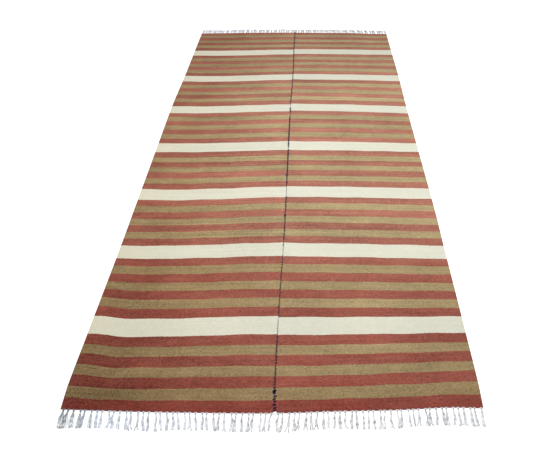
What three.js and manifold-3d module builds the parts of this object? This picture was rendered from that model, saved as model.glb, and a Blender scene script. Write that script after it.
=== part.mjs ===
// A two-panel striped kilim rug lying flat on the floor.
// Two narrow-loom panels are sewn edge to edge along the middle, and the warp ends of each panel
// are knotted into a fringe of small tassels at both ends.
// Millimetres, +Z up, the floor at z = 0. The near end is at -Y and the rug's length runs along Y.
import * as THREE from "three";
import { mergeVertices } from "three/addons/utils/BufferGeometryUtils.js";
import Module from "manifold-3d";

// Driving dimensions of the cloth.
const RUG_WIDTH = 1510; // between straight selvedges
const RUG_LENGTH = 3170; // woven length between straight ends
const CLOTH = 3; // thickness of the weft-faced weave
const EDGE_ROUND = 0.8; // chamfer that stands for the rounded edge of the weave
const GAP = 0.3; // clearance between neighbouring pieces

// How far the selvedges stand out and the middle seam stands right of the centre line.
// One row for each station along the length, from the near end (0) to the far end (1).
const SIDE_TABLE = [
  { at: 0.0, left: -4, seam: 12, right: -1 },
  { at: 0.03, left: 2, seam: 7, right: 4 },
  { at: 0.1, left: 2, seam: 5, right: 6 },
  { at: 0.18, left: 2, seam: 6, right: 8 },
  { at: 0.25, left: 2, seam: 9, right: 9 },
  { at: 0.34, left: 5, seam: 9, right: 12 },
  { at: 0.52, left: 11, seam: 5, right: 7 },
  { at: 0.65, left: 15, seam: 4, right: 4 },
  { at: 0.78, left: 7, seam: 8, right: 5 },
  { at: 0.92, left: 4, seam: 4, right: -2 },
  { at: 1.0, left: 1, seam: 5, right: -4 },
];

// How far the two ends stand out from a straight end, and how far the tassels there lean to the right.
// One row for each station across the width, from the left selvedge (0) to the right one (1).
const END_TABLE = [
  { at: 0.0, near: -4, far: -3, lean: 4 },
  { at: 0.12, near: 3, far: 2, lean: 7 },
  { at: 0.28, near: 8, far: 11, lean: 12 },
  { at: 0.5, near: 11, far: 12, lean: -4 },
  { at: 0.65, near: 4, far: 8, lean: -1 },
  { at: 0.8, near: -1, far: 5, lean: -1 },
  { at: 0.92, near: -10, far: -10, lean: -3 },
  { at: 1.0, near: -8, far: -14, lean: -3 },
];
const SIDE_STEPS = 40; // points along a selvedge or the seam
const END_STEPS = 12; // points along one panel's end

// The fringe: a narrow strip of bound warp ends, and tassels knotted from it.
const STRIP = 2; // width of the strip
const TASSELS = 37; // on one end of one panel
const FRINGE_LENGTH = 64; // from the cloth to the tips
const KNOT = {
  length: 6,
  rootHalf: 2.2,
  rootHeight: 2.4,
  half: 3.6,
  height: 6,
  endHalf: 3.2,
  endHeight: 4.2,
};
// A tassel's two locks: half widths, heights and distances from the tassel's middle line.
const LOCK = {
  rootHalf: 1.2,
  rootOffset: 1.35,
  rootHeight: 1.9,
  half: 1.7,
  offset: 2.2,
  height: 3.4,
  tipHalf: 2.1,
  tipOffset: 3.1,
  tipHeight: 2.4,
};
const LOCK_SUNK = 1; // how far a lock starts inside its knot
const LOCK_MIDDLE = 0.4; // share of a lock's length at its middle section
// How the tassels differ: the most that each measure departs from even, and the step of its wave,
// in radians from one tassel to the next.
const UNEVEN = {
  place: { most: 3, step: 2.4 },
  lean: { most: 3.2, step: 4.1 },
  length: { most: 4.5, step: 5.9 },
};

// The finishes: madder-red wool for the ground and white cotton for the warp ends.
const wool = () => new THREE.MeshStandardMaterial({ color: 0x9a5546, roughness: 0.95, metalness: 0 });
const cotton = () => new THREE.MeshStandardMaterial({ color: 0xe9e8e4, roughness: 0.9, metalness: 0 });

const wasm = await Module();
wasm.setup();

// A table's column as a smooth function of the station.
function smoothColumn(table, column) {
  const stations = table.map((row) => row.at);
  const values = table.map((row) => row[column]);
  const spline = new THREE.CubicInterpolant(stations, values, 1);
  return (share) => spline.evaluate(share)[0];
}

const leftBulge = smoothColumn(SIDE_TABLE, "left");
const rightBulge = smoothColumn(SIDE_TABLE, "right");
const seamShift = smoothColumn(SIDE_TABLE, "seam");
const nearBulge = smoothColumn(END_TABLE, "near");
const farBulge = smoothColumn(END_TABLE, "far");
const combedLean = smoothColumn(END_TABLE, "lean");

// The sides give x at a share of the length, and the ends give y at an x.
const leftSelvedge = (share) => -RUG_WIDTH / 2 - leftBulge(share);
const rightSelvedge = (share) => RUG_WIDTH / 2 + rightBulge(share);
const seamOfLeft = (share) => seamShift(share) - GAP / 2;
const seamOfRight = (share) => seamShift(share) + GAP / 2;
const shareAcross = (x) => THREE.MathUtils.clamp(x / RUG_WIDTH + 0.5, 0, 1);
const nearEnd = (x) => -RUG_LENGTH / 2 - nearBulge(shareAcross(x));
const farEnd = (x) => RUG_LENGTH / 2 + farBulge(shareAcross(x));

// One panel's outline, counter-clockwise from its near left corner.
function panelShape(leftSide, rightSide) {
  const onEnd = (end, fromX, toX, share) => {
    const x = THREE.MathUtils.lerp(fromX, toX, share);
    return new THREE.Vector2(x, end(x));
  };
  const onSide = (side, share) => {
    const x = side(share);
    return new THREE.Vector2(x, THREE.MathUtils.lerp(nearEnd(x), farEnd(x), share));
  };
  const nearPoints = [];
  const farPoints = [];
  for (let i = 0; i < END_STEPS; i++) {
    nearPoints.push(onEnd(nearEnd, leftSide(0), rightSide(0), i / END_STEPS));
    farPoints.push(onEnd(farEnd, rightSide(1), leftSide(1), i / END_STEPS));
  }
  const rightPoints = [];
  const leftPoints = [];
  for (let i = 0; i < SIDE_STEPS; i++) {
    rightPoints.push(onSide(rightSide, i / SIDE_STEPS));
    leftPoints.push(onSide(leftSide, 1 - i / SIDE_STEPS));
  }
  return new THREE.Shape([...nearPoints, ...rightPoints, ...farPoints, ...leftPoints]);
}

// A woven panel: its outline at the cloth's thickness, with the edges rounded off.
function panel(name, leftSide, rightSide) {
  const geometry = new THREE.ExtrudeGeometry(panelShape(leftSide, rightSide), {
    depth: CLOTH - 2 * EDGE_ROUND,
    bevelThickness: EDGE_ROUND,
    bevelSize: EDGE_ROUND,
    bevelOffset: -EDGE_ROUND,
    bevelSegments: 1,
  });
  const mesh = new THREE.Mesh(geometry, wool());
  mesh.name = name;
  mesh.position.z = EDGE_ROUND;
  return mesh;
}

// A closed geometry as a solid that can be joined to others.
function solidOf(geometry) {
  const bare = geometry.clone();
  bare.deleteAttribute("normal");
  bare.deleteAttribute("uv");
  const merged = mergeVertices(bare);
  const vertProperties = merged.getAttribute("position").array;
  const triVerts = new Uint32Array(merged.index.array);
  return new wasm.Manifold(new wasm.Mesh({ numProp: 3, vertProperties, triVerts }));
}

// A solid as a geometry that a mesh can show.
function geometryOf(solid) {
  const { vertProperties, triVerts } = solid.getMesh();
  const geometry = new THREE.BufferGeometry();
  geometry.setAttribute("position", new THREE.BufferAttribute(vertProperties, 3));
  geometry.setIndex(new THREE.BufferAttribute(triVerts, 1));
  geometry.computeVertexNormals();
  return geometry;
}

// A three-sided lock through sections that run towards -Y: flat on the floor, with a ridge on top.
function lock(sections) {
  const positions = sections.flatMap(({ x, y, half, height }) => [
    [x - half, y, 0],
    [x + half, y, 0],
    [x, y, height],
  ]);
  const last = positions.length - 3;
  const faces = [[0, 2, 1], [last, last + 1, last + 2]];
  for (let start = 0; start < last; start += 3) {
    for (let k = 0; k < 3; k++) {
      const a = start + k;
      const b = start + ((k + 1) % 3);
      faces.push([a, b + 3, a + 3], [a, b, b + 3]);
    }
  }
  const geometry = new THREE.BufferGeometry();
  geometry.setAttribute("position", new THREE.Float32BufferAttribute(positions.flat(), 3));
  geometry.setIndex(faces.flat());
  return solidOf(geometry);
}

// One tassel below the point (x, y) of the strip's outer edge: a knot and the two locks out of it.
function tassel(x, y, lean, length) {
  const knotEnd = y - KNOT.length;
  const tip = y - length;
  const knot = lock([
    { x, y: y + STRIP / 2, half: KNOT.rootHalf, height: KNOT.rootHeight },
    { x, y: y - KNOT.length / 2, half: KNOT.half, height: KNOT.height },
    { x, y: knotEnd, half: KNOT.endHalf, height: KNOT.endHeight },
  ]);
  const locks = [-1, 1].map((side) =>
    lock([
      {
        x: x + side * LOCK.rootOffset,
        y: knotEnd + LOCK_SUNK,
        half: LOCK.rootHalf,
        height: LOCK.rootHeight,
      },
      {
        x: x + side * LOCK.offset + lean * LOCK_MIDDLE,
        y: THREE.MathUtils.lerp(knotEnd, tip, LOCK_MIDDLE),
        half: LOCK.half,
        height: LOCK.height,
      },
      { x: x + side * LOCK.tipOffset + lean, y: tip, half: LOCK.tipHalf, height: LOCK.tipHeight },
    ]),
  );
  return [knot, ...locks];
}

// The strip of bound warp ends along a panel's end, from leftX to rightX.
function strip(leftX, rightX, end) {
  const inner = [];
  const outer = [];
  for (let i = 0; i <= END_STEPS; i++) {
    const x = THREE.MathUtils.lerp(leftX, rightX, i / END_STEPS);
    inner.push(new THREE.Vector2(x, end(x) - GAP));
    outer.push(new THREE.Vector2(x, end(x) - GAP - STRIP));
  }
  const outline = new THREE.Shape([...outer, ...inner.reverse()]);
  return solidOf(new THREE.ExtrudeGeometry(outline, { depth: CLOTH, bevelEnabled: false }));
}

// A fringe that points towards -Y, made from leftX to rightX along the curve end(x).
// The phase makes the tassels of each fringe differ in their own way.
function fringe(name, leftX, rightX, end, phase) {
  const pieces = [strip(leftX, rightX, end)];
  const pitch = (rightX - leftX) / TASSELS;
  const uneven = ({ most, step }, i) => most * Math.sin(step * i + phase);
  for (let i = 0; i < TASSELS; i++) {
    const x = leftX + (i + 0.5) * pitch + uneven(UNEVEN.place, i);
    const root = end(x) - GAP - STRIP;
    const length = FRINGE_LENGTH - STRIP - GAP + uneven(UNEVEN.length, i);
    const lean = uneven(UNEVEN.lean, i) + combedLean(shareAcross(x));
    pieces.push(...tassel(x, root, lean, length));
  }
  const joined = pieces.reduce((whole, piece) => whole.add(piece));
  const mesh = new THREE.Mesh(geometryOf(joined), cotton());
  mesh.name = name;
  return mesh;
}

// The far end's fringes are made pointing towards -Y too, and turned half round.
const turnedFarEnd = (x) => -farEnd(-x);

const rug = new THREE.Group();
rug.add(panel("panel_left", leftSelvedge, seamOfLeft));
rug.add(panel("panel_right", seamOfRight, rightSelvedge));
rug.add(fringe("fringe_near_left", leftSelvedge(0), seamOfLeft(0), nearEnd, 1));
rug.add(fringe("fringe_near_right", seamOfRight(0), rightSelvedge(0), nearEnd, 2));

const farFringes = new THREE.Group();
farFringes.rotation.z = Math.PI;
farFringes.add(fringe("fringe_far_left", -seamOfLeft(1), -leftSelvedge(1), turnedFarEnd, 3));
farFringes.add(fringe("fringe_far_right", -rightSelvedge(1), -seamOfRight(1), turnedFarEnd, 4));
rug.add(farFringes);

export default rug;
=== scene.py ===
"""The looks of a two-panel striped kilim rug that lies flat on a pale floor.

Two weft-faced panels are laced together along the middle with dark yarn, and their warp ends are
knotted into fringes. Tables are in millimetres, with the near end of the rug at -Y, and the scene is
in metres, in the frame of the solids.
"""
import math

import bpy
import numpy as np
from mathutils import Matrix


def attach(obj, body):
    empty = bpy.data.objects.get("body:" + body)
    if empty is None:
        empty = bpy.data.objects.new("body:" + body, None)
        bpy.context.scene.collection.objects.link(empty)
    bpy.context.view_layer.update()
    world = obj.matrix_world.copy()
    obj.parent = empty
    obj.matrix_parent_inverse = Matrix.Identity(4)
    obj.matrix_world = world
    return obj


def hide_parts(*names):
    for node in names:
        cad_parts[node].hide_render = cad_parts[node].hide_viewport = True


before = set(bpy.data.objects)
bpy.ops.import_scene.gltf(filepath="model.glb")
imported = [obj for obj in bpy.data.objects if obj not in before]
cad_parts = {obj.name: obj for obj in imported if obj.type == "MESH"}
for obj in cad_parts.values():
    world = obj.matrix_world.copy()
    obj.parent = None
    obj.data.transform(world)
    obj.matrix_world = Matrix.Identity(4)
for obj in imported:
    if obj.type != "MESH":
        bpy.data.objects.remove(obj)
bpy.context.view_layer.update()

MM = 0.001
ALONG_Y = np.array([0, 1.0, 0])
ALONG_Z = np.array([0, 0, 1.0])

# Driving sizes of the cloth, its rounded edges, and the gap between the panels.
RUG_WIDTH = 1510
RUG_LENGTH = 3170
CLOTH = 3.0
EDGE_ROUND = 2.0
SEAM_ROUND = 0.5
GAP = 0.3

# A panel's mesh: distances of the first points from an edge, columns across the panel, the length of a
# row, and the place of the upper and the under face in the flat layout.
ROUND_STEPS = (0.0, 0.2, 0.5, 1.2, 2.0, 4.0)
COLUMNS = 84
ROW_LENGTH = 7.0
SHEET_LAYOUT = dict(margin=0.01, width=0.47, length=0.98, under=0.51)

# A tube's cell in the flat layout, in shares of the cell: where its wall starts, the size of the wall, and
# where its two ends lie.
CELL_LAYOUT = dict(inset=0.1, size=0.8, cap=0.05)

# How far the selvedges stand out and the middle seam stands right of the centre line,
# from the near end (0) to the far end (1).
SIDE_TABLE = [
    dict(at=0.0, left=-4, seam=12, right=-1),
    dict(at=0.03, left=2, seam=7, right=4),
    dict(at=0.1, left=2, seam=5, right=6),
    dict(at=0.18, left=2, seam=6, right=8),
    dict(at=0.25, left=2, seam=9, right=9),
    dict(at=0.34, left=5, seam=9, right=12),
    dict(at=0.52, left=11, seam=5, right=7),
    dict(at=0.65, left=15, seam=4, right=4),
    dict(at=0.78, left=7, seam=8, right=5),
    dict(at=0.92, left=4, seam=4, right=-2),
    dict(at=1.0, left=1, seam=5, right=-4),
]

# How far the two ends stand out and their tassels lean to the right, from the left selvedge (0) to the
# right one (1).
END_TABLE = [
    dict(at=0.0, near=-4, far=-3, lean=4),
    dict(at=0.12, near=3, far=2, lean=7),
    dict(at=0.28, near=8, far=11, lean=12),
    dict(at=0.5, near=11, far=12, lean=-4),
    dict(at=0.65, near=4, far=8, lean=-1),
    dict(at=0.8, near=-1, far=5, lean=-1),
    dict(at=0.92, near=-10, far=-10, lean=-3),
    dict(at=1.0, near=-8, far=-14, lean=-3),
]

# The weaver's chart of stripe widths beside the seam, one row for each group from the near end.
# Red and khaki take turns, and a cream band closes each group but the last.
STRIPE_CHART = [
    dict(red_khaki=(47, 48, 47, 43, 48, 44, 48), cream=87),
    dict(red_khaki=(48, 47, 47, 46, 50, 49, 46), cream=84),
    dict(red_khaki=(46, 46, 47, 45, 50, 46, 47), cream=85),
    dict(red_khaki=(49, 43, 52, 44, 46, 45, 51), cream=87),
    dict(red_khaki=(50, 47, 49, 47, 48, 48, 46), cream=84),
    dict(red_khaki=(54, 43, 48, 45, 46, 46, 47), cream=80),
    dict(red_khaki=(45, 47, 47, 43, 45, 45, 45), cream=82),
    dict(red_khaki=(44, 46, 44, 44, 48, 43, 44), cream=0),
]
GROUP_STEPS = 8

# How the wefts bow, from the near end (0) to the far end (1): how far they sink left of the seam, rise
# again at the left selvedge, step up from the left panel to the right one, and fall to the right selvedge.
BOW_TABLE = [
    dict(at=0.035, left_dip=5, left_rise=15, step=0, right_fall=-27),
    dict(at=0.117, left_dip=14, left_rise=15, step=-5, right_fall=-7),
    dict(at=0.155, left_dip=13, left_rise=15, step=-5, right_fall=5),
    dict(at=0.247, left_dip=19, left_rise=1, step=-2, right_fall=18),
    dict(at=0.376, left_dip=25, left_rise=4, step=3, right_fall=18),
    dict(at=0.507, left_dip=21, left_rise=2, step=1, right_fall=20),
    dict(at=0.639, left_dip=25, left_rise=4, step=9, right_fall=33),
    dict(at=0.766, left_dip=26, left_rise=4, step=7, right_fall=24),
    dict(at=0.891, left_dip=20, left_rise=-1, step=8, right_fall=17),
]

# The share of the left panel's width over which its wefts sink, how far in from the left selvedge they
# rise, and how late they fall towards the right one.
DIP_SHARE = 0.72
RISE_REACH = 160
FALL_POWER = 1.4

# How single wefts wander: height, a wave and a slow wave across, how far the waves shift along the rug,
# the length of a shift, and the calm length at both ends.
WANDER = dict(height=1.6, wave=230, slow=170, shift=3.0, slow_shift=2.3, shift_length=90, calm=60)

# Soft ridges that the cloth keeps from folding and use: middle, turn from the length, reach and height.
RIDGE_TABLE = [
    dict(x=-430, y=-150, turn=0.6, half_length=1500, half_width=75, height=2.2),
    dict(x=370, y=200, turn=-0.8, half_length=1450, half_width=85, height=1.6),
    dict(x=-560, y=-1335, turn=82, half_length=190, half_width=40, height=2.4),
    dict(x=-590, y=-1060, turn=76, half_length=170, half_width=55, height=2.2),
    dict(x=-600, y=-660, turn=84, half_length=140, half_width=40, height=1.4),
    dict(x=440, y=-560, turn=88, half_length=260, half_width=60, height=1.8),
    dict(x=560, y=-1420, turn=95, half_length=220, half_width=45, height=1.8),
    dict(x=-250, y=420, turn=92, half_length=300, half_width=70, height=1.2),
    dict(x=480, y=760, turn=86, half_length=240, half_width=60, height=1.3),
]

# Puckers along the seam, where the lacing pulls the cloth.
PUCKER = dict(height=0.9, reach=32, wave=58, drift=0.004)

# How pale the dyes are, from the near end to the far end, and its share across the width: partly fading in
# use, partly painted light that is dim at the near left and brightest right of the middle.
FADE_AND_LIGHT_ALONG = [
    dict(at=0.0, amount=0.08),
    dict(at=0.05, amount=0.29),
    dict(at=0.13, amount=0.30),
    dict(at=0.21, amount=0.40),
    dict(at=0.255, amount=0.60),
    dict(at=0.29, amount=0.70),
    dict(at=0.45, amount=0.82),
    dict(at=0.65, amount=0.92),
    dict(at=0.83, amount=0.88),
    dict(at=0.93, amount=0.78),
    dict(at=1.0, amount=0.66),
]
FADE_AND_LIGHT_ACROSS = [
    dict(at=0.0, amount=0.58),
    dict(at=0.14, amount=0.62),
    dict(at=0.3, amount=0.86),
    dict(at=0.45, amount=0.98),
    dict(at=0.65, amount=1.06),
    dict(at=0.85, amount=1.04),
    dict(at=1.0, amount=0.98),
]

# Darker patches, and a few lighter ones: painted shade at the near left, where less light falls, painted
# shade and light along the soft ridges, and marks of use.
SHADE_AND_SOIL_TABLE = [
    dict(x=-720, y=-1300, half_width=280, half_length=620, amount=0.10),
    dict(x=-700, y=-1480, half_width=260, half_length=200, amount=0.12),
    dict(x=-610, y=-1335, half_width=140, half_length=48, amount=0.11),
    dict(x=-600, y=-1065, half_width=120, half_length=90, amount=0.08),
    dict(x=-613, y=-650, half_width=60, half_length=40, amount=0.08),
    dict(x=-560, y=-1560, half_width=300, half_length=70, amount=0.08),
    dict(x=-560, y=650, half_width=260, half_length=330, amount=0.07),
    dict(x=450, y=-563, half_width=150, half_length=70, amount=-0.07),
    dict(x=40, y=-1440, half_width=400, half_length=170, amount=-0.10),
    dict(x=500, y=680, half_width=400, half_length=300, amount=-0.07),
    dict(x=-60, y=320, half_width=70, half_length=520, amount=-0.08),
    dict(x=740, y=-100, half_width=85, half_length=1300, amount=-0.09),
    dict(x=100, y=-1000, half_width=1000, half_length=190, amount=-0.12),
    dict(x=-520, y=-1512, half_width=190, half_length=28, amount=0.16),
    dict(x=110, y=-1395, half_width=130, half_length=40, amount=-0.12),
]

# Where the khaki wool is from a paler lot.
PALE_TABLE = [
    dict(x=420, y=-1110, half_width=430, half_length=330, amount=0.24),
]

# The lacing yarn along the seam, by distance from the near end: a stitch's reach to each side, the step
# to the next one, its half thickness, and the half thickness of the run between the stitches, which is also
# painted shadow in the groove between the panels.
LACING_TABLE = [
    dict(at=0, reach=7.6, step=10, radius=3.0, run_and_shadow=1.5),
    dict(at=70, reach=6.4, step=11, radius=2.7, run_and_shadow=1.3),
    dict(at=125, reach=4.5, step=11, radius=2.2, run_and_shadow=1.1),
    dict(at=315, reach=4.3, step=12, radius=2.2, run_and_shadow=1.1),
    dict(at=332, reach=3.4, step=12, radius=1.9, run_and_shadow=0.3),
    dict(at=365, reach=2.8, step=12, radius=1.5, run_and_shadow=0.05),
    dict(at=405, reach=2.6, step=12, radius=1.2, run_and_shadow=0.05),
    dict(at=425, reach=3.6, step=13, radius=2.1, run_and_shadow=1.0),
    dict(at=742, reach=3.6, step=14, radius=2.2, run_and_shadow=1.1),
    dict(at=760, reach=2.6, step=12, radius=1.4, run_and_shadow=0.05),
    dict(at=825, reach=2.8, step=13, radius=1.6, run_and_shadow=0.05),
    dict(at=845, reach=4.2, step=14, radius=2.5, run_and_shadow=1.3),
    dict(at=1150, reach=4.4, step=14, radius=2.8, run_and_shadow=1.4),
    dict(at=1165, reach=3.0, step=14, radius=1.8, run_and_shadow=0.1),
    dict(at=1235, reach=3.0, step=14, radius=1.8, run_and_shadow=0.1),
    dict(at=1260, reach=4.6, step=16, radius=3.0, run_and_shadow=1.6),
    dict(at=1400, reach=5.0, step=16, radius=3.4, run_and_shadow=2.1),
    dict(at=1574, reach=5.2, step=16, radius=3.5, run_and_shadow=2.3),
    dict(at=1579, reach=1.6, step=16, radius=0.9, run_and_shadow=0.1),
    dict(at=1590, reach=1.6, step=16, radius=0.9, run_and_shadow=0.1),
    dict(at=1595, reach=5.2, step=16, radius=3.5, run_and_shadow=2.3),
    dict(at=1930, reach=4.8, step=16, radius=3.4, run_and_shadow=2.1),
    dict(at=1940, reach=3.0, step=16, radius=1.8, run_and_shadow=0.8),
    dict(at=1970, reach=3.0, step=16, radius=1.8, run_and_shadow=0.8),
    dict(at=1980, reach=4.8, step=16, radius=3.4, run_and_shadow=2.1),
    dict(at=2030, reach=4.2, step=17, radius=3.0, run_and_shadow=1.6),
    dict(at=2042, reach=2.6, step=16, radius=1.5, run_and_shadow=0.3),
    dict(at=2072, reach=2.6, step=16, radius=1.5, run_and_shadow=0.3),
    dict(at=2095, reach=4.0, step=16, radius=2.9, run_and_shadow=1.7),
    dict(at=3190, reach=4.0, step=16, radius=2.9, run_and_shadow=1.7),
]
LACING_SEED = 7

# How far from the two ends of the weave the stitches start and stop.
SEAM_START = 8.0
SEAM_STOP = 8.0

# A stitch: its slant as a share of the step, its sway to one side and the other in turn, its two strands,
# and how it rises over the cloth, sinks into it and tapers. Pairs are the ranges of random draws.
SLANT_SHARE = 0.25
SWAY = 0.3
STRAND_SHARE = 0.58
STRAND_APART = 0.48
STITCH_RISE = 0.4
SINK_POWER = 3
STITCH_TAPER = 0.6
TAPER_POWER = 4
STITCH_POINTS = 9
STITCH_SIDES = 6
STITCH_STEP = (0.75, 1.25)
STITCH_SIZE = (0.8, 1.15)
STITCH_TONE = (0.5, 2.4)

# Where the lacing is tied off, in three stitches side by side that reach further to the left.
TIE_PLACES = (83, 813, 1018, 1336, 2026)
TIE_TURNS = (-3.0, 0.0, 3.0)
TIE_SWAY = (1.6, 0.7)

# The run of lacing yarn between the stitches, which is also painted shadow in the groove between the panels:
# its end, its depth in the cloth, how it sways, and its tone.
RUN_AND_SHADOW = dict(points=900, sides=6, stop=1, sunk=0.6, sway=0.35, wave=2.9, slow_sway=0.3, slow_wave=7.7)
RUN_AND_SHADOW_TONE = dict(middle=2.6, change=1.8, wave=31, slow_wave=13)

# The turns of pale yarn at the seam's near end, by distance from the end of the weave.
SEAM_TIE_TABLE = [
    dict(at=-2.0, reach=9.0, radius=2.2, slant=-1.0),
    dict(at=0.2, reach=8.5, radius=2.2, slant=1.2),
    dict(at=2.4, reach=8.0, radius=2.1, slant=-0.8),
    dict(at=4.6, reach=6.0, radius=1.9, slant=1.0),
]
SEAM_TIE_TONE = 1.15

# The tassels on one end of a panel. Their places, leans and lengths differ by a most and by a step from
# one tassel to the next.
TASSELS = 37
FRINGE_LENGTH = 64
UNEVEN = dict(place=(3.0, 2.4), lean=(3.2, 4.1), length=(3.0, 5.9))
TASSEL_TONE = (0.88, 1.04)

# The warps that fan out over the weave's edge and gather at the knot.
WARPS = 6
WARP_POINTS = 5
WARP_SIDES = 5
WARP_YARN = 0.75
WARP_FAN = 0.5
WARP_GATHER = 0.08
WARP_OVER = 2.4
WARP_SUNK = 0.2
WARP_TONE = (0.72, 0.95)

# The yarn that is wrapped round each tassel, a little way out from the weave. Its darker tone is painted
# shade round the knot.
KNOT_OUT = 4.8
KNOT = dict(turns=1.8, radius=2.1, flat=0.4, yarn=1.15, depth=4.0, height=2.9, points=16, sides=6, tone=0.6)

# The loose yarns below a knot, in two legs. Pairs are the ranges of random draws. Each place and length is
# a share of the way from the knot (0) to the tip (1).
TAILS_PER_LEG = 5
TAIL_POINTS = 14
TAIL_SIDES = 5
TAIL_YARN = 0.72
TAIL_TAPER = (1.05, 0.85)
TAIL_TONE = (0.76, 1.08)
LEG = dict(apart=0.9, part=(0.3, 2.2), part_reach=2.0, part_power=1.5, longer=(-2.5, 2))
KINK = dict(most=2.0, place=(0.25, 0.6), length=0.2)
CURL = dict(reach=(-5, 5), place=0.75, length=0.25)
BUSH = dict(fullness=(0.7, 1.4), least=1.0, spread=1.8, length=0.5)
STRAY = dict(waves=(0.7, 1.7), start=(0, 6), reach=(0.2, 1.1), longer=(-3, 1.5))
LAYER = dict(height=1.25, share=(0.6, 1.0), length=0.3)

# How light a tassel is along its length: painted shade at three places, and a darker tip, soiled and painted
# with the shade of its curl.
SHADE = dict(light=1.07, tip=0.3, tip_place=0.8, tip_length=0.2, most=0.5, length=0.07)
SHADED_PLACES = ((0.1, 0.35), (0.35, 0.6), (0.6, 0.85))

# The far fringe is greyer and fuller; its grey is painted shade. Tassels within reach of the near left corner
# are darker and fuller too, with dark and light yarns in turn: the darkening is painted shade, the under
# yarns' darkness painted shadow, and the upper yarns' lightness painted light.
FAR_SHADE = 0.6
FAR_FULLNESS = 1.2
CORNER_REACH = 190
CORNER_SHADE = 0.72
CORNER_FULLNESS = 1.9
CORNER_CONTRAST = (-0.5, 0.9)

# Colours as linear reflectance. The dyes are deep at the near left and faded at the far right, partly as
# painted
# light: painted shade at the near left and painted light towards the right. Towards the left selvedge the
# wool is yellower, and the cotton bluer as painted shade.
RED_DEEP_SHADED = (0.190, 0.036, 0.0255, 1)
RED_FADED_LIT = (0.353, 0.152, 0.104, 1)
KHAKI_DEEP_SHADED = (0.213, 0.140, 0.0655, 1)
KHAKI_FADED_LIT = (0.352, 0.282, 0.150, 1)
CREAM = (0.58, 0.572, 0.470, 1)
PLAIN = (1, 1, 1, 1)
YELLOWED = (1.01, 0.975, 0.92, 1)
COTTON = (0.805, 0.815, 0.835, 1)
COTTON_LEFT_SHADED = (0.735, 0.815, 0.94, 1)
NAVY = (0.006, 0.006, 0.022)
FLOOR_WHITE = (0.9, 0.9, 0.9, 1)
LIGHT_WHITE = (1, 1, 1, 1)

# The weave's pitch and the length of one spun yarn, in metres, and the yarns' shift from pick to pick.
WARP_PITCH = 3.6 * MM
WEFT_PITCH = 1.5 * MM
YARN_LENGTH = 9 * MM
YARN_SHIFT = 0.37

# Noises over the wool: waves in a metre across the rug and along it, and a step from panel to panel.
WOOL_NOISE = dict(
    patch=dict(waves=(8.0, 24.0, 17.0), detail=2.0),
    ragged=dict(waves=(260.0, 14.0, 3.0), detail=2.0),
    streak=dict(waves=(25.0, 260.0, 9.0), detail=3.0),
    mottle=dict(waves=(22.0, 34.0, 11.0), detail=2.0),
    band=dict(waves=(1.6, 85.0, 5.0), detail=2.0),
    blotch=dict(waves=(4.0, 4.0, 7.0), detail=3.0),
    speck=dict(waves=(95.0, 110.0, 13.0), detail=0.0),
)

# How far each of these changes the wool's tone. A lot is a stripe's, and a loop is a weft's over one warp.
WOOL_TONE = dict(lot=0.18, loop=0.9, yarn=0.12, streak=0.12, mottle=0.26, band=0.8, blotch=0.6)

# How far patches fade the dyes, and how ragged the stripes' edges are.
PATCH_FADE = 0.4
RAGGED_EDGE = 0.09

# Bands are stronger in the left panel's khaki and in faded wool, which is partly painted light. Khaki and
# cream are calmer than red.
BAND = dict(left_khaki=0.6, deep_shaded=0.4, faded_lit=0.75)
CALM = dict(khaki=-0.15, cream=-0.65)
SPECK = dict(slope=16.0, start=-5.6, tone=-0.28)

# The relief of the loops, and what it does to tone and shading. Its part in tone is painted shade: the wool
# is darker in the grooves between the loops.
LOOP = dict(rib=0.7, low=0.3, bump=0.5 * MM, strength=0.6)
GROOVE_SHADE = dict(relief=0.5, low=0.76)
WOOL_ROUGHNESS = dict(middle=0.9, streak=0.25)
WOOL_SHADER = dict(
    Sheen_Weight=0.04,
    Sheen_Roughness=0.5,
    Sheen_Tint=(1.0, 0.95, 0.9, 1.0),
    Specular_IOR_Level=0.1,
)

# Plied yarn: the slant of its plies, the waves of its fibres and dust in a metre, and what each changes. The
# plies' part in tone is painted shade, darker in the grooves between them.
PLY = dict(slant=1.6, tone=0.12, bump=0.3 * MM, strength=0.7)
FIBRE = dict(waves=(900.0, 420.0, 900.0), detail=3.0)
FIBRE_SHARE = dict(tone=0.35, roughness=0.2, bump=0.6)
DUST = dict(waves=(18.0, 18.0, 18.0), detail=2.0)
DUST_TONE = 0.2
YARN_TONE = 0.9
YARN_ROUGHNESS = 0.88
YARN_SHEEN = dict(gloss_share=0.5, roughness=0.5)
COTTON_YARN = dict(ply_pitch=1.7 * MM, gloss=0.2)
NAVY_YARN = dict(ply_pitch=1.5 * MM, gloss=0.04)

# The studio, in metres: the floor, the light from all round, and the soft light over the right side.
FLOOR = dict(reach=9.0, drop=0.2 * MM, roughness=0.7, glow=0.35)
ROUND_LIGHT = 0.65
SOFTBOX = dict(size=1.6, energy=78, place=(0.35, -0.2, 3.0))

# The camera, at a standing person's eye height. The view's own axis lies right of the middle.
PHOTO_WIDTH = 533
AXIS_PIXEL = 311.9
FOCAL_PIXELS = 485.9
SENSOR = 36
CAMERA_PLACE = (0.143, -2.3495, 1.6774)
CAMERA_PITCH = 44.85


def column(table, name):
    return np.array([row[name] for row in table], float)


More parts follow.
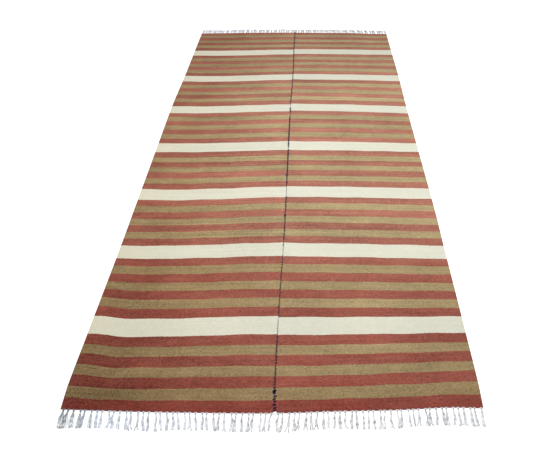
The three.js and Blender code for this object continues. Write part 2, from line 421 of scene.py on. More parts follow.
def smooth(stations, values, at):
    """A smooth curve through values at the stations, read at other places."""
    slopes = np.empty_like(values)
    spans = np.diff(stations)
    rises = np.diff(values, axis=0)
    slopes[0] = rises[0] / spans[0]
    slopes[-1] = rises[-1] / spans[-1]
    wide = stations[2:] - stations[:-2]
    slopes[1:-1] = ((values[2:] - values[:-2]).T / wide).T
    i = np.clip(np.searchsorted(stations, at) - 1, 0, len(stations) - 2)
    span = spans[i]
    t = (at - stations[i]) / span
    if values.ndim > 1:
        span = span[:, None]
        t = t[:, None]
    start = (1 + 2 * t) * (1 - t) ** 2 * values[i] + t * (1 - t) ** 2 * span * slopes[i]
    end = t * t * (3 - 2 * t) * values[i + 1] + t * t * (t - 1) * span * slopes[i + 1]
    return start + end


def ease(t):
    t = np.clip(t, 0, 1)
    return t * t * (3 - 2 * t)


def side_curve(name, share):
    return smooth(column(SIDE_TABLE, "at"), column(SIDE_TABLE, name), np.atleast_1d(share))


def end_curve(name, x):
    share = np.clip(np.atleast_1d(x) / RUG_WIDTH + 0.5, 0, 1)
    return smooth(column(END_TABLE, "at"), column(END_TABLE, name), share)


def left_selvedge(share):
    return -RUG_WIDTH / 2 - side_curve("left", share)


def right_selvedge(share):
    return RUG_WIDTH / 2 + side_curve("right", share)


def seam(share):
    return side_curve("seam", share)


def seam_of_left(share):
    return seam(share) - GAP / 2


def seam_of_right(share):
    return seam(share) + GAP / 2


def near_end(x):
    return -RUG_LENGTH / 2 - end_curve("near", x)


def far_end(x):
    return RUG_LENGTH / 2 + end_curve("far", x)


def turned_far_end(x):
    """The far end as it lies when the rug is turned half round."""
    return -far_end(-np.atleast_1d(x))


def stripe_bounds():
    """The stripes' edges along the seam, from the near end of the weave."""
    widths = []
    for group in STRIPE_CHART:
        widths.extend(group["red_khaki"])
        if group["cream"]:
            widths.append(group["cream"])
    edges = np.concatenate([[0], np.cumsum(widths)]).astype(float)
    woven = far_end(0)[0] - near_end(0)[0]
    return edges * woven / edges[-1]


STRIPES = stripe_bounds()
WOVEN = STRIPES[-1]


def weft_bow(x, is_right):
    """How far the wefts stand off a straight line, at each row of the table and each column x."""
    if is_right:
        share = np.clip(x / (RUG_WIDTH / 2), 0, 1)
        fall = np.outer(column(BOW_TABLE, "right_fall"), share**FALL_POWER)
        return column(BOW_TABLE, "step")[:, None] - fall
    share = np.clip(-x / (RUG_WIDTH / 2), 0, 1)
    dip = np.outer(column(BOW_TABLE, "left_dip"), ease(share / DIP_SHARE))
    rise = np.outer(column(BOW_TABLE, "left_rise"), 1 - ease((x + RUG_WIDTH / 2) / RISE_REACH))
    return rise - dip


def lift(x, y):
    """The height of the cloth's soft ridges and puckers over the floor."""
    height = np.zeros_like(x)
    for ridge in RIDGE_TABLE:
        turn = math.radians(ridge["turn"])
        dx = x - ridge["x"]
        dy = y - ridge["y"]
        along = dy * math.cos(turn) - dx * math.sin(turn)
        across = dx * math.cos(turn) + dy * math.sin(turn)
        fade = 1 - ease(np.abs(along) / ridge["half_length"])
        height += ridge["height"] * fade * np.exp(-((across / ridge["half_width"]) ** 2))
    off_seam = x - seam(np.clip(y / RUG_LENGTH + 0.5, 0, 1).ravel()).reshape(x.shape)
    pucker = 0.5 + 0.5 * np.sin(2 * np.pi * y / PUCKER["wave"] + PUCKER["drift"] * y)
    return height + PUCKER["height"] * pucker * np.exp(-((off_seam / PUCKER["reach"]) ** 2))


def marks(table, x, y):
    """The sum of soft oval marks."""
    total = np.zeros_like(x)
    for mark in table:
        dx = (x - mark["x"]) / mark["half_width"]
        dy = (y - mark["y"]) / mark["half_length"]
        total += mark["amount"] * np.exp(-(dx**2) - dy**2)
    return total


def dye_fade_and_painted_light(x, y):
    """How far the dyes have faded, partly as painted light that is dim at the near left, from 0 to 1."""
    across = np.clip(x / RUG_WIDTH + 0.5, 0, 1)
    along = np.clip(y / RUG_LENGTH + 0.5, 0, 1)
    by_length = np.interp(along, column(FADE_AND_LIGHT_ALONG, "at"), column(FADE_AND_LIGHT_ALONG, "amount"))
    by_width = np.interp(across, column(FADE_AND_LIGHT_ACROSS, "at"), column(FADE_AND_LIGHT_ACROSS, "amount"))
    return np.clip(by_length * by_width, 0, 1)


def keep(piece, node=None):
    """Put a piece on the rug's one body, in the place of its solid."""
    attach(piece, "root")
    if node:
        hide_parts(node)
    return piece


def new_object(name, vertices, faces, corner_uv, values, material):
    """A smooth mesh in metres, with its own flat layout and named values at its points."""
    mesh = bpy.data.meshes.new(name)
    mesh.from_pydata((vertices * MM).tolist(), [], faces)
    for key, data in values.items():
        kind = "FLOAT_VECTOR" if data.ndim > 1 else "FLOAT"
        field = "vector" if data.ndim > 1 else "value"
        attribute = mesh.attributes.new(key, kind, "POINT")
        attribute.data.foreach_set(field, data.ravel().astype(np.float32))
    layout = mesh.uv_layers.new(name="OFBake")
    layout.data.foreach_set("uv", corner_uv.ravel().astype(np.float32))
    mesh.polygons.foreach_set("use_smooth", np.ones(len(mesh.polygons), dtype=bool))
    mesh.materials.append(material)
    mesh.update()
    piece = bpy.data.objects.new(name, mesh)
    bpy.context.scene.collection.objects.link(piece)
    return piece


def quads(grid):
    """The corners of a grid's cells, counter-clockwise from above."""
    low = grid[..., :-1, :]
    high = grid[..., 1:, :]
    return np.stack([low[..., :-1], low[..., 1:], high[..., 1:], high[..., :-1]], axis=-1)


def row_places():
    """Distances from the near end: close together at both ends, and even within each stripe."""
    places = list(ROUND_STEPS) + [WOVEN - step for step in ROUND_STEPS]
    for low, high in zip(STRIPES[:-1], STRIPES[1:]):
        steps = max(2, round((high - low) / ROW_LENGTH))
        places.extend(np.linspace(low, high, steps + 1))
    return np.unique(np.round(places, 4))


def column_places(left, right):
    """The points across a panel in each row: close together at both sides, and even between them."""
    steps = np.array(ROUND_STEPS)
    even = np.arange(1, COLUMNS) / COLUMNS
    place = np.concatenate([np.zeros(len(steps)), even, np.ones(len(steps))])
    inset = np.concatenate([steps, np.zeros(len(even)), -steps[::-1]])
    return left + place * (right - left) + inset


def weft_lines(s, x, is_right):
    """The points along the rug, in rows that follow the bowed and wandering wefts."""
    mean_x = x.mean(axis=0)
    near_off = near_end(mean_x) - near_end(0)
    far_off = far_end(mean_x) - far_end(0)
    offsets = np.vstack([near_off, weft_bow(mean_x, is_right), far_off])
    stations = np.concatenate([[0], column(BOW_TABLE, "at"), [1]])
    y = near_end(0) + s[:, None] + smooth(stations, offsets, s / WOVEN)
    drift = s[:, None] / WANDER["shift_length"] + is_right
    wander = np.sin(2 * np.pi * x / WANDER["wave"] + WANDER["shift"] * np.sin(drift))
    wander = wander * np.sin(x / WANDER["slow"] + WANDER["slow_shift"] * drift)
    inside = ease(np.minimum(s, WOVEN - s) / WANDER["calm"])[:, None]
    return y + WANDER["height"] * wander * inside


def half_thickness(s, x, left, right, is_right):
    """Half the thickness of the cloth, which is rounded off at all its edges."""
    left_round, right_round = (SEAM_ROUND, EDGE_ROUND) if is_right else (EDGE_ROUND, SEAM_ROUND)
    from_side = np.minimum((x - left) / left_round, (right - x) / right_round)
    from_end = np.minimum(s, WOVEN - s)[:, None] / EDGE_ROUND
    edge = 1 - np.clip(np.minimum(from_side, from_end), 0, 1)
    return CLOTH / 2 * np.sqrt(1 - edge**2)


def sheet_faces(rows, columns):
    """The upper and the under face of a closed sheet, which share their outermost points."""
    top = np.arange(rows * columns).reshape(rows, columns)
    bottom = top.copy()
    inner = (rows - 2) * (columns - 2)
    bottom[1:-1, 1:-1] = rows * columns + np.arange(inner).reshape(rows - 2, columns - 2)
    return np.concatenate([quads(top).reshape(-1, 4), quads(bottom).reshape(-1, 4)[:, ::-1]])


def sheet_points(top, bottom):
    """Values at the points of a closed sheet: the whole upper face, then the inside of the under one."""
    rows, columns = top.shape[:2]
    upper = top.reshape(rows * columns, -1)
    under = bottom[1:-1, 1:-1].reshape((rows - 2) * (columns - 2), -1)
    return np.concatenate([upper, under]).squeeze()


def sheet_layout(mean_x, share):
    """The flat layout of a closed sheet, with its under face beside the upper one."""
    u = (mean_x - mean_x[0]) / (mean_x[-1] - mean_x[0])
    flat_u = SHEET_LAYOUT["margin"] + SHEET_LAYOUT["width"] * u
    flat_v = SHEET_LAYOUT["margin"] + SHEET_LAYOUT["length"] * share
    grid_u, grid_v = np.meshgrid(flat_u, flat_v)
    top = np.stack([quads(grid_u), quads(grid_v)], axis=3).reshape(-1, 4, 2)
    bottom = top[:, ::-1] + np.array([SHEET_LAYOUT["under"], 0])
    return np.concatenate([top, bottom])


def woven_panel(name, node, left_side, right_side, is_right, material):
    """One panel as a closed thin sheet: wefts bowed as woven, edges rounded, ridges soft."""
    s = row_places()
    share = s / WOVEN
    left = left_side(share)[:, None]
    right = right_side(share)[:, None]
    x = column_places(left, right)
    y = weft_lines(s, x, is_right)
    half = half_thickness(s, x, left, right, is_right)
    height = lift(x, y) + CLOTH / 2
    top = np.stack([x, y, height + half], axis=2)
    bottom = np.stack([x, y, height - half], axis=2)

    stripe = np.interp(s, STRIPES, np.arange(len(STRIPES)))[:, None] + 0 * x
    weave = np.stack([(x - left) * MM, s[:, None] * MM + 0 * x, is_right + 0 * x], axis=2)
    looks = dict(
        stripe=stripe,
        weave=weave,
        # The fade is partly painted light, and the patches below are partly painted shade and light.
        fade=dye_fade_and_painted_light(x, y),
        shade_and_soil=marks(SHADE_AND_SOIL_TABLE, x, y),
        pale=marks(PALE_TABLE, x, y),
    )
    values = {key: sheet_points(data, data) for key, data in looks.items()}
    faces = sheet_faces(*x.shape).tolist()
    layout = sheet_layout(x.mean(axis=0), share)
    piece = new_object(name, sheet_points(top, bottom), faces, layout, values, material)
    return keep(piece, node)


def tubes(paths, radii, sides, guide):
    """Closed tubes along many paths of equally many points: vertices, faces and flat layout."""
    count, points, _ = paths.shape
    along = np.gradient(paths, axis=1)
    along /= np.linalg.norm(along, axis=2, keepdims=True)
    across = np.cross(along, guide)
    across /= np.linalg.norm(across, axis=2, keepdims=True)
    up = np.cross(across, along)
    turn = 2 * np.pi * np.arange(sides) / sides
    ring = np.cos(turn)[:, None] * across[:, :, None] + np.sin(turn)[:, None] * up[:, :, None]
    vertices = paths[:, :, None] + radii[:, :, None, None] * ring
    index = np.arange(count * points * sides).reshape(count, points, sides)
    wrapped = np.concatenate([index, index[:, :, :1]], axis=2)
    u, v = np.meshgrid(np.arange(points) / (points - 1), np.arange(sides + 1) / sides, indexing="ij")
    wall_uv = np.stack([quads(u), quads(v)], axis=3).reshape(-1, 2)
    return dict(
        vertices=vertices.reshape(-1, 3),
        walls=quads(wrapped).reshape(-1, 4),
        starts=index[:, 0, ::-1],
        ends=index[:, -1],
        wall_uv=np.tile(wall_uv, (count, 1, 1)),
        count=count,
    )


def joined_tubes(name, sets, tones, material):
    """One mesh from several sets of tubes. Each tube has its own cell in the flat layout."""
    total = sum(part["count"] for part in sets)
    across = math.ceil(math.sqrt(total))
    inset, size, cap = (CELL_LAYOUT[key] / across for key in ("inset", "size", "cap"))
    vertices = []
    faces = []
    corners = []
    point_tones = []
    first_point = 0
    first_tube = 0
    for part, tone in zip(sets, tones):
        cell = first_tube + np.arange(part["count"])
        corner = np.stack([cell % across, cell // across], axis=1) / across
        wall_uv = corner[:, None] + inset + size * part["wall_uv"]
        cap_uv = np.repeat(corner[:, None] + cap, part["starts"].shape[1], axis=1)
        for kind in ("walls", "starts", "ends"):
            faces.extend((part[kind] + first_point).tolist())
        corners.extend([wall_uv.reshape(-1, 2), cap_uv.reshape(-1, 2), cap_uv.reshape(-1, 2)])
        vertices.append(part["vertices"])
        point_tones.append(np.repeat(tone.ravel(), len(part["vertices"]) // tone.size))
        first_point += len(part["vertices"])
        first_tube += part["count"]
    values = dict(tone=np.concatenate(point_tones))
    return new_object(name, np.concatenate(vertices), faces, np.concatenate(corners), values, material)


def near_left_share(x, y):
    """1 at the near left corner, and 0 a few tassels away from it."""
    return 1 - ease((x + RUG_WIDTH / 2) / CORNER_REACH) if y < 0 else 0.0


def tail_paths(x, knot, length, lean, fullness, rng):
    """The loose yarns of one tassel: two legs that part below the knot, kink, lean and curl at the tip."""
    t = np.linspace(0, 1, TAIL_POINTS)
    bush = rng.uniform(*BUSH["fullness"]) * (1 + fullness)
    fan = BUSH["least"] + BUSH["spread"] * bush * ease(t / BUSH["length"])
    part = LEG["part_reach"] * rng.uniform(*LEG["part"])
    kink = rng.normal(0, KINK["most"])
    kink = kink * np.exp(-(((t - rng.uniform(*KINK["place"])) / KINK["length"]) ** 2))
    paths = []
    for side in (-1, 1):
        curl = rng.uniform(*CURL["reach"]) * ease((t - CURL["place"]) / CURL["length"])
        leg = side * (LEG["apart"] + part * t ** LEG["part_power"]) + lean * t + kink + curl
        leg_length = length + rng.uniform(*LEG["longer"])
        for k in range(TAILS_PER_LEG):
            spread = (k / (TAILS_PER_LEG - 1) - 0.5) * 2 * fan
            wave = np.sin(2 * np.pi * rng.uniform(*STRAY["waves"]) * t + rng.uniform(*STRAY["start"]))
            stray = rng.uniform(*STRAY["reach"]) * t * wave
            reach = leg_length + rng.uniform(*STRAY["longer"])
            low = TAIL_YARN + LAYER["height"] * (k % 2) * rng.uniform(*LAYER["share"])
            height = low + (KNOT["height"] - low) * (1 - ease(t / LAYER["length"]))
            paths.append(np.stack([x + leg + spread + stray, knot - reach * t, height], axis=1))
    return paths


def tail_shade(rng):
    """How light one tassel is along its length, with painted shade in places and at its soiled tip."""
    t = np.linspace(0, 1, TAIL_POINTS)
    shaded = SHADE["tip"] * ease((t - SHADE["tip_place"]) / SHADE["tip_length"])
    for low, high in SHADED_PLACES:
        depth = rng.uniform(0, SHADE["most"])
        shaded += depth * np.exp(-(((t - rng.uniform(low, high)) / SHADE["length"]) ** 2))
    return SHADE["light"] - shaded


def warp_paths(x, root, knot, pitch):
    """The warps that show over the weave's edge and run into the knot that gathers them."""
    t = np.linspace(0, 1, WARP_POINTS)
    start_y = root + WARP_OVER
    start_z = CLOTH - WARP_SUNK
    paths = []
    for k in range(WARPS):
        from_middle = (k / (WARPS - 1) - 0.5) * pitch
        path_x = x + from_middle * (WARP_FAN + (WARP_GATHER - WARP_FAN) * ease(t))
        path_y = start_y + (knot - start_y) * t
        path_z = start_z + (KNOT["height"] - start_z) * ease(t)
        paths.append(np.stack([path_x, path_y, path_z], axis=1))
    return paths


def knot_path(x, knot, rng):
    t = np.linspace(0, 1, KNOT["points"])
    angle = 2 * np.pi * KNOT["turns"] * t + rng.uniform(0, 2 * np.pi)
    path_x = x + KNOT["radius"] * np.cos(angle)
    path_y = knot + KNOT["depth"] * (0.5 - t)
    path_z = KNOT["height"] + (KNOT["radius"] - KNOT["flat"]) * np.sin(angle)
    return np.stack([path_x, path_y, path_z], axis=1)


def fringe_tubes(warps, knots, tails, flip):
    """The yarns of a fringe, turned half round where flip is -1."""
    turn = np.array([flip, flip, 1])
    warps, knots, tails = (np.array(paths) * turn for paths in (warps, knots, tails))
    tail_radii = TAIL_YARN * np.linspace(*TAIL_TAPER, TAIL_POINTS) * np.ones((len(tails), 1))
    return [
        tubes(warps, np.full(warps.shape[:2], WARP_YARN), WARP_SIDES, ALONG_Z),
        tubes(knots, np.full(knots.shape[:2], KNOT["yarn"]), KNOT["sides"], ALONG_Y),
        tubes(tails, tail_radii, TAIL_SIDES, ALONG_Z),
    ]


def fringe(name, node, material, left_x, right_x, end, seed, turned):
    """Knotted tassels below the curve end(x), pointing to -Y, then turned half round at the far end."""
    rng = np.random.default_rng(seed)
    flip = -1 if turned else 1
    pitch = (right_x - left_x) / TASSELS
    warps = []
    knots = []
    tails = []
    tones = []
    shades = []
    for i in range(TASSELS):
        off = {key: most * math.sin(step * i + seed) for key, (most, step) in UNEVEN.items()}
        x = left_x + (i + 0.5) * pitch + off["place"]
        root = end(x)[0]
        knot = root - KNOT_OUT
        length = FRINGE_LENGTH - KNOT_OUT + off["length"]
        lean = off["lean"] + end_curve("lean", x)[0]
        corner = near_left_share(flip * x, flip * root)
        warps.extend(warp_paths(x, root, knot, pitch))
        knots.append(knot_path(x, knot, rng))
        fullness = FAR_FULLNESS if turned else CORNER_FULLNESS * corner
        tails.extend(tail_paths(x, knot, length, lean, fullness, rng))
        # Painted shade: the far fringe and the tassels at the near left corner are darker.
        tones.append((FAR_SHADE if turned else 1 - CORNER_SHADE * corner) * rng.uniform(*TASSEL_TONE))
        shade = tail_shade(rng)
        for k in range(2 * TAILS_PER_LEG):
            # Near the corner the under yarns get painted shadow and the upper ones painted light.
            shades.append(shade * (1 + CORNER_CONTRAST[k % TAILS_PER_LEG % 2] * corner))

    tones = np.array(tones)
    warp_tones = np.repeat(tones, WARPS) * rng.uniform(*WARP_TONE, len(warps))
    tail_tones = np.repeat(tones, 2 * TAILS_PER_LEG) * rng.uniform(*TAIL_TONE, len(tails))
    tail_tones = tail_tones[:, None] * np.array(shades)
    # The knots' darker tone is painted shade.
    yarn_tones = [warp_tones, KNOT["tone"] * tones, tail_tones]
    piece = joined_tubes(name, fringe_tubes(warps, knots, tails, flip), yarn_tones, material)
    return keep(piece, node)


def cross_stitches(places, reach, radius, slant, sway):
    """Stitches of doubled yarn, each humped over the seam and sunk into the cloth at both ends."""
    t = np.linspace(-1, 1, STITCH_POINTS)
    side = np.where(t < 0, sway[:, :1], sway[:, 1:])
    path_x = seam(places / WOVEN)[:, None] + reach[:, None] * side * t
    path_y = near_end(0) + places[:, None] + slant[:, None] * t
    hump = CLOTH + STITCH_RISE * radius[:, None]
    path_z = lift(path_x, path_y) + hump + (CLOTH / 2 - hump) * np.abs(t) ** SINK_POWER
    strands = []
    for off in (-STRAND_APART, STRAND_APART):
        strands.append(np.stack([path_x, path_y + off * radius[:, None], path_z], axis=2))
    thickness = np.tile(STRAND_SHARE * radius, 2)[:, None] * (1 - STITCH_TAPER * t**TAPER_POWER)
    return tubes(np.concatenate(strands), thickness, STITCH_SIDES, ALONG_Y)


def lacing_at(key, place):
    return np.interp(place, column(LACING_TABLE, "at"), column(LACING_TABLE, key))


def lacing_stitches(rng):
    """Slanting stitches over the seam, with the places where the yarn is tied off, and their tones."""
    places = [SEAM_START]
    while places[-1] < WOVEN - SEAM_STOP:
        places.append(places[-1] + lacing_at("step", places[-1]) * rng.uniform(*STITCH_STEP))
    turn = SWAY * (-1.0) ** np.arange(len(places))
    sway = np.stack([1 + turn, 1 - turn], axis=1) * rng.uniform(*STITCH_SIZE, (len(places), 2))
    for tied in TIE_PLACES:
        places.extend(tied + np.array(TIE_TURNS))
    sway = np.concatenate([sway, np.tile(TIE_SWAY, (len(TIE_TURNS) * len(TIE_PLACES), 1))])
    places = np.array(places)
    slant = SLANT_SHARE * lacing_at("step", places)
    radius = lacing_at("radius", places) * rng.uniform(*STITCH_SIZE, len(places))
    stitches = cross_stitches(places, lacing_at("reach", places), radius, slant, sway)
    return stitches, np.tile(rng.uniform(*STITCH_TONE, len(places)), 2)


def lacing_run_and_shadow():
    """The yarn along the seam between the stitches, which is also painted shadow in the groove, and its
    tones.
    """
    s = np.linspace(SEAM_START, WOVEN - RUN_AND_SHADOW["stop"], RUN_AND_SHADOW["points"])
    x = seam(s / WOVEN) + RUN_AND_SHADOW["sway"] * np.sin(s / RUN_AND_SHADOW["wave"])
    x = x + RUN_AND_SHADOW["slow_sway"] * np.sin(s / RUN_AND_SHADOW["slow_wave"])
    y = near_end(0) + s
    path = np.stack([x, y, lift(x, y) + CLOTH - RUN_AND_SHADOW["sunk"]], axis=1)
    change = RUN_AND_SHADOW_TONE["change"] * np.sin(s / RUN_AND_SHADOW_TONE["wave"]) * np.sin(s / RUN_AND_SHADOW_TONE["slow_wave"])
    run_and_shadow = tubes(path[None], lacing_at("run_and_shadow", s)[None], RUN_AND_SHADOW["sides"], ALONG_Z)
    return run_and_shadow, RUN_AND_SHADOW_TONE["middle"] + change


def lacing(name, material):
    """The dark yarn that laces the panels: slanting stitches over the seam, and the run between them, which
    is also painted shadow in the groove.
    """
    stitches, stitch_tones = lacing_stitches(np.random.default_rng(LACING_SEED))
    run_and_shadow, run_and_shadow_tones = lacing_run_and_shadow()
    piece = joined_tubes(name, [stitches, run_and_shadow], [stitch_tones, run_and_shadow_tones], material)
    return keep(piece)


def seam_tie(name, material):
    """A few turns of pale yarn that close the seam at its near end."""
    places, reach, radius, slant = (column(SEAM_TIE_TABLE, key) for key in ("at", "reach", "radius", "slant"))
    stitches = cross_stitches(places, reach, radius, slant, np.ones((len(places), 2)))
    tones = np.full(2 * len(places), SEAM_TIE_TONE)
    return keep(joined_tubes(name, [stitches], [tones], material))


class Graph:
    """A material's nodes, in short calls whose values are sockets or plain numbers."""

    # The colour sockets of a mix node, and the reach within which a value counts as a whole number.
    MIX_INPUTS = (0, 6, 7)
    MIX_OUTPUT = 2
    WHOLE = 0.1

    def __init__(self, name):
        self.material = bpy.data.materials.new(name)
        self.material.use_nodes = True
        self.tree = self.material.node_tree
        self.shader = self.tree.nodes["Principled BSDF"]

    def feed(self, socket, value):
        if isinstance(value, bpy.types.NodeSocket):
            self.tree.links.new(value, socket)
        else:
            socket.default_value = value

    def set(self, **values):
        for key, value in values.items():
            self.feed(self.shader.inputs[key.replace("_", " ")], value)

    def math(self, operation, a, b=0.0, c=0.0):
        node = self.tree.nodes.new("ShaderNodeMath")
        node.operation = operation
        for socket, value in zip(node.inputs, (a, b, c)):
            self.feed(socket, value)
        return node.outputs[0]

    def line(self, value, slope, start):
        """The value times slope, and start added."""
        return self.math("MULTIPLY_ADD", value, slope, start)

    def equals(self, value, whole):
        """1 where the value is this whole number, and 0 elsewhere."""
        return self.math("COMPARE", value, whole, self.WHOLE)

    def humps(self, value, rate):
        """Round humps side by side, from 0 to 1."""
        return self.math("ABSOLUTE", self.math("SINE", self.math("MULTIPLY", value, rate)))

    def clamp(self, value):
        node = self.tree.nodes.new("ShaderNodeClamp")
        self.feed(node.inputs[0], value)
        return node.outputs[0]

    def attribute(self, name, output="Fac"):
        node = self.tree.nodes.new("ShaderNodeAttribute")
        node.attribute_name = name
        return node.outputs[output]

    def stretch(self, vector, sizes):
        node = self.tree.nodes.new("ShaderNodeVectorMath")
        node.operation = "MULTIPLY"
        self.feed(node.inputs[0], vector)
        self.feed(node.inputs[1], sizes)
        return node.outputs[0]

    def dim(self, colour, tone):
        node = self.tree.nodes.new("ShaderNodeVectorMath")
        node.operation = "SCALE"
        self.feed(node.inputs[0], colour)
        self.feed(node.inputs["Scale"], tone)
        return node.outputs[0]

    def split(self, vector):
        node = self.tree.nodes.new("ShaderNodeSeparateXYZ")
        self.feed(node.inputs[0], vector)
        return node.outputs

    def place(self):
        return self.tree.nodes.new("ShaderNodeTexCoord").outputs["Object"]

    def left_share(self):
        """0 from the middle to the right selvedge, and up to 1 at the left one."""
        return self.clamp(self.math("MULTIPLY", self.split(self.place())[0], -2 / (RUG_WIDTH * MM)))

    def noise(self, vector, waves, detail):
        """Noise centred on zero, with its waves in a metre along each axis."""
        node = self.tree.nodes.new("ShaderNodeTexNoise")
        self.feed(node.inputs["Vector"], self.stretch(vector, waves))
        node.inputs["Scale"].default_value = 1.0
        node.inputs["Detail"].default_value = detail
        return self.math("SUBTRACT", node.outputs[0], 0.5)

    def cell(self, x, y=0.0, z=0.0):
        """A random value centred on zero for each cell of whole numbers."""
        corner = self.tree.nodes.new("ShaderNodeCombineXYZ")
        for socket, value in zip(corner.inputs, (x, y, z)):
            self.feed(socket, self.math("FLOOR", value))
        node = self.tree.nodes.new("ShaderNodeTexWhiteNoise")
        self.feed(node.inputs["Vector"], corner.outputs[0])
        return self.math("SUBTRACT", node.outputs["Value"], 0.5)

    def mix(self, factor, a, b):
        node = self.tree.nodes.new("ShaderNodeMix")
        node.data_type = "RGBA"
        for i, value in zip(self.MIX_INPUTS, (factor, a, b)):
            self.feed(node.inputs[i], value)
        return node.outputs[self.MIX_OUTPUT]

    def bump(self, height, distance, strength):
        node = self.tree.nodes.new("ShaderNodeBump")
        node.inputs["Strength"].default_value = strength
        node.inputs["Distance"].default_value = distance
        self.feed(node.inputs["Height"], height)
        return node.outputs[0]


def wool_noise(g, weave, name):
    return g.noise(weave, **WOOL_NOISE[name])


def stripe_kinds(g, weave):
    """A stripe's number, and whether it is khaki or cream. A cream band counts as both."""
    ragged = wool_noise(g, weave, "ragged")
    place = g.line(ragged, RAGGED_EDGE, g.attribute("stripe"))
    index = g.math("FLOOR", g.math("MAXIMUM", place, 0.0))
    step = g.math("MODULO", index, float(GROUP_STEPS))
    is_khaki = g.math("MODULO", step, 2.0)
    is_cream = g.equals(step, GROUP_STEPS - 1.0)
    return index, is_khaki, is_cream


def dyed_wool(g, weave, is_khaki, is_cream):
    """The colours of the stripes: darker at the near left and paler towards the right, partly as painted
    light, and faded in patches.
    """
    # The fade is partly painted light: the dyes are deeper at the near left and paler towards the right.
    fade = g.line(wool_noise(g, weave, "patch"), PATCH_FADE, g.attribute("fade"))
    red = g.mix(fade, RED_DEEP_SHADED, RED_FADED_LIT)
    khaki = g.mix(g.math("ADD", fade, g.attribute("pale")), KHAKI_DEEP_SHADED, KHAKI_FADED_LIT)
    dyed = g.mix(is_khaki, red, khaki)
    yarn = g.mix(is_cream, dyed, CREAM)
    return g.stretch(yarn, g.mix(g.left_share(), PLAIN, YELLOWED))


def wool_bands(g, weave, panel, is_khaki):
    """Bands of lighter and darker wefts across a whole panel."""
    uneven = g.line(panel, -BAND["left_khaki"], BAND["left_khaki"])
    band = wool_noise(g, weave, "band")
    band = g.math("MULTIPLY", band, g.line(is_khaki, uneven, 1.0))
    return g.math("MULTIPLY", band, g.line(g.attribute("fade"), BAND["faded_lit"], BAND["deep_shaded"]))


def wool_tone(g, weave, parts, is_khaki, is_cream):
    """How light the wool is: the sum of its uneven parts, less the patches of painted shade and soil, and the
    dark specks.
    """
    tone = 0.0
    for name, part in parts.items():
        tone = g.line(part, WOOL_TONE[name], tone)
    # Painted shade and light, with marks of use, from the table of patches.
    tone = g.math("SUBTRACT", tone, g.attribute("shade_and_soil"))
    calm = g.line(is_khaki, CALM["khaki"], 1.0)
    calm = g.line(is_cream, CALM["cream"], calm)
    tone = g.line(tone, calm, 1.0)
    speck = g.line(wool_noise(g, weave, "speck"), SPECK["slope"], SPECK["start"])
    return g.line(g.clamp(speck), SPECK["tone"], tone)


def woven_wool():
    """Weft-faced stripes of red, khaki and cream wool, with streaked dye and fine ribs."""
    g = Graph("woven_wool")
    weave = g.attribute("weave", "Vector")
    across, along, panel = g.split(weave)
    index, is_khaki, is_cream = stripe_kinds(g, weave)
    yarn = dyed_wool(g, weave, is_khaki, is_cream)

    weft = g.math("DIVIDE", along, WEFT_PITCH)
    pick = g.math("FLOOR", weft)
    shift = g.math("MULTIPLY", g.math("MODULO", pick, 2.0), 0.5)
    rib = g.math("ADD", g.math("DIVIDE", across, WARP_PITCH), shift)
    length = g.line(pick, YARN_SHIFT, g.math("DIVIDE", across, YARN_LENGTH))
    streak = wool_noise(g, weave, "streak")
    parts = dict(
        lot=g.cell(index, panel),
        loop=g.cell(rib, pick, panel),
        yarn=g.cell(length, pick, panel),
        streak=streak,
        mottle=wool_noise(g, weave, "mottle"),
        band=wool_bands(g, weave, panel, is_khaki),
        blotch=wool_noise(g, weave, "blotch"),
    )
    tone = wool_tone(g, weave, parts, is_khaki, is_cream)

    rib_height = g.line(g.humps(rib, math.pi), LOOP["rib"], LOOP["low"])
    relief = g.math("MULTIPLY", rib_height, g.humps(weft, math.pi))
    # Painted shade: the base colour is darker in the grooves between the loops.
    groove_shade = g.line(relief, GROOVE_SHADE["relief"], GROOVE_SHADE["low"])
    g.set(
        Base_Color=g.dim(yarn, g.math("MULTIPLY", tone, groove_shade)),
        Roughness=g.line(streak, WOOL_ROUGHNESS["streak"], WOOL_ROUGHNESS["middle"]),
        Normal=g.bump(relief, LOOP["bump"], LOOP["strength"]),
        **WOOL_SHADER,
    )
    return g.material


def spun_yarn(g, colour, ply_pitch, gloss):
    """Matte plied yarn: slanting plies, loose fibres and a tone for each yarn."""
    place = g.place()
    x, y, z = g.split(place)
    slant = g.line(x, PLY["slant"], y)
    slant = g.math("ADD", slant, g.math("MULTIPLY", z, PLY["slant"]))
    ply = g.humps(slant, math.pi / ply_pitch)
    fibre = g.noise(place, **FIBRE)
    tone = g.line(g.noise(place, **DUST), DUST_TONE, YARN_TONE)
    tone = g.line(fibre, FIBRE_SHARE["tone"], tone)
    # Painted shade: the yarn is darker in the grooves between its plies.
    tone = g.line(ply, PLY["tone"], tone)
    tone = g.math("MULTIPLY", tone, g.attribute("tone"))
    relief = g.line(fibre, FIBRE_SHARE["bump"], ply)
    g.set(
        Base_Color=g.dim(colour, tone),
        Roughness=g.line(fibre, FIBRE_SHARE["roughness"], YARN_ROUGHNESS),
        Normal=g.bump(relief, PLY["bump"], PLY["strength"]),
        Sheen_Weight=YARN_SHEEN["gloss_share"] * gloss,
        Sheen_Roughness=YARN_SHEEN["roughness"],
        Specular_IOR_Level=gloss,
    )
    return g.material


def warp_yarn():
    """White cotton, a little bluer towards the left selvedge as painted shade."""
    g = Graph("warp_yarn")
    return spun_yarn(g, g.mix(g.left_share(), COTTON, COTTON_LEFT_SHADED), **COTTON_YARN)


def seam_yarn():
    return spun_yarn(Graph("seam_yarn"), NAVY, **NAVY_YARN)


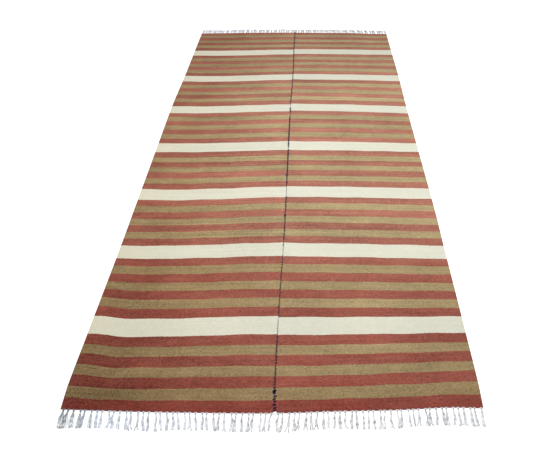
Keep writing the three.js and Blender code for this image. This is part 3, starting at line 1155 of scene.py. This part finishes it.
def pale_floor():
    reach = FLOOR["reach"]
    corners = [(-reach, -reach, 0), (reach, -reach, 0), (reach, reach, 0), (-reach, reach, 0)]
    mesh = bpy.data.meshes.new("floor")
    mesh.from_pydata(corners, [], [(0, 1, 2, 3)])
    floor = bpy.data.objects.new("floor", mesh)
    floor.location.z = -FLOOR["drop"]
    bpy.context.scene.collection.objects.link(floor)
    g = Graph("floor")
    g.set(
        Base_Color=FLOOR_WHITE,
        Roughness=FLOOR["roughness"],
        Emission_Color=LIGHT_WHITE,
        Emission_Strength=FLOOR["glow"],
    )
    mesh.materials.append(g.material)


def soft_light():
    """Even light from all round, and a soft light over the right side."""
    scene = bpy.context.scene
    world = bpy.data.worlds.new("studio")
    world.use_nodes = True
    background = world.node_tree.nodes["Background"]
    background.inputs["Color"].default_value = LIGHT_WHITE
    background.inputs["Strength"].default_value = ROUND_LIGHT
    scene.world = world

    lamp = bpy.data.lights.new("softbox", "AREA")
    lamp.shape = "DISK"
    lamp.size = SOFTBOX["size"]
    lamp.energy = SOFTBOX["energy"]
    softbox = bpy.data.objects.new("softbox", lamp)
    softbox.location = SOFTBOX["place"]
    scene.collection.objects.link(softbox)


def eye_level_camera():
    scene = bpy.context.scene
    lens = bpy.data.cameras.new("camera")
    lens.sensor_width = SENSOR
    lens.lens = FOCAL_PIXELS / PHOTO_WIDTH * SENSOR
    lens.shift_x = (PHOTO_WIDTH / 2 - AXIS_PIXEL) / PHOTO_WIDTH
    camera = bpy.data.objects.new("camera", lens)
    camera.location = CAMERA_PLACE
    camera.rotation_euler = (math.radians(90 - CAMERA_PITCH), 0, 0)
    scene.collection.objects.link(camera)
    scene.camera = camera
    scene.view_settings.view_transform = "Standard"


pale_floor()
soft_light()
eye_level_camera()
wool = woven_wool()
cotton = warp_yarn()
navy = seam_yarn()

left_panel = woven_panel("cloth_left", "panel_left", left_selvedge, seam_of_left, 0, wool)
right_panel = woven_panel("cloth_right", "panel_right", seam_of_right, right_selvedge, 1, wool)
lace = lacing("seam_lacing", navy)
tie = seam_tie("seam_tie", cotton)

left_near, left_far = left_selvedge([0, 1])
right_near, right_far = right_selvedge([0, 1])
near_seam_left, far_seam_left = seam_of_left([0, 1])
near_seam_right, far_seam_right = seam_of_right([0, 1])
near_left = fringe(
    "tassels_near_left", "fringe_near_left", cotton,
    left_x=left_near, right_x=near_seam_left, end=near_end, seed=1, turned=False,
)
near_right = fringe(
    "tassels_near_right", "fringe_near_right", cotton,
    left_x=near_seam_right, right_x=right_near, end=near_end, seed=2, turned=False,
)
far_left = fringe(
    "tassels_far_left", "fringe_far_left", cotton,
    left_x=-far_seam_left, right_x=-left_far, end=turned_far_end, seed=3, turned=True,
)
far_right = fringe(
    "tassels_far_right", "fringe_far_right", cotton,
    left_x=-right_far, right_x=-far_seam_right, end=turned_far_end, seed=4, turned=True,
)
